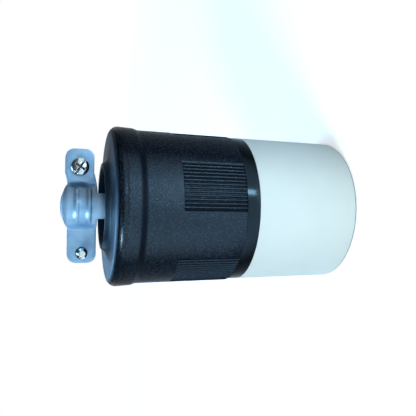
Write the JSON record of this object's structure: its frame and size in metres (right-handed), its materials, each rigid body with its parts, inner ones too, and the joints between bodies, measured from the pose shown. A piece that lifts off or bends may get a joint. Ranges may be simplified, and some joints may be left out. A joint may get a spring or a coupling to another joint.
{
  "type": "inline socket connector",
  "caption": "Round inline locking socket with a white cover, black ribbed housing, flanged rear end and a two-part steel cord clamp.",
  "frame": {"origin": "centre of the flat front face, which the part stands on", "axes": "+Z along the body's axis from the front face to the cord clamp, X along the clamp's ears, -Y towards the clamp half that the near screw's head sits on"},
  "size_m": [0.06, 0.06, 0.1077],
  "materials": {
    "cover_nylon": "white moulded nylon, satin",
    "carrier_plastic": "black moulded, polished band",
    "housing_nylon": "black moulded nylon, fine grain",
    "clamp_steel": "zinc plated, stamped",
    "screw_steel": "bright zinc plated",
    "contact_brass": "rolled brass",
    "seal_rubber": "black rubber"
  },
  "bodies": {
    "root": {"front_cover": "cover_nylon", "contact_carrier": "carrier_plastic", "terminal_base": "carrier_plastic", "rear_housing": "housing_nylon", "clamp_half_near": "clamp_steel", "clamp_half_far": "clamp_steel", "clamp_screw_near": "screw_steel", "clamp_screw_far": "screw_steel", "cord_seal": "seal_rubber", "assembly_screw_1": "screw_steel", "assembly_screw_2": "screw_steel", "insert_1": "contact_brass", "insert_2": "contact_brass", "contact_ground": "contact_brass", "wire_plate_ground": "screw_steel", "terminal_screw_ground": "screw_steel", "contact_line_a": "contact_brass", "wire_plate_line_a": "screw_steel", "terminal_screw_line_a": "screw_steel", "contact_neutral": "contact_brass", "wire_plate_neutral": "screw_steel", "terminal_screw_neutral": "screw_steel", "contact_line_b": "contact_brass", "wire_plate_line_b": "screw_steel", "terminal_screw_line_b": "screw_steel"}
  },
  "joints": []
}
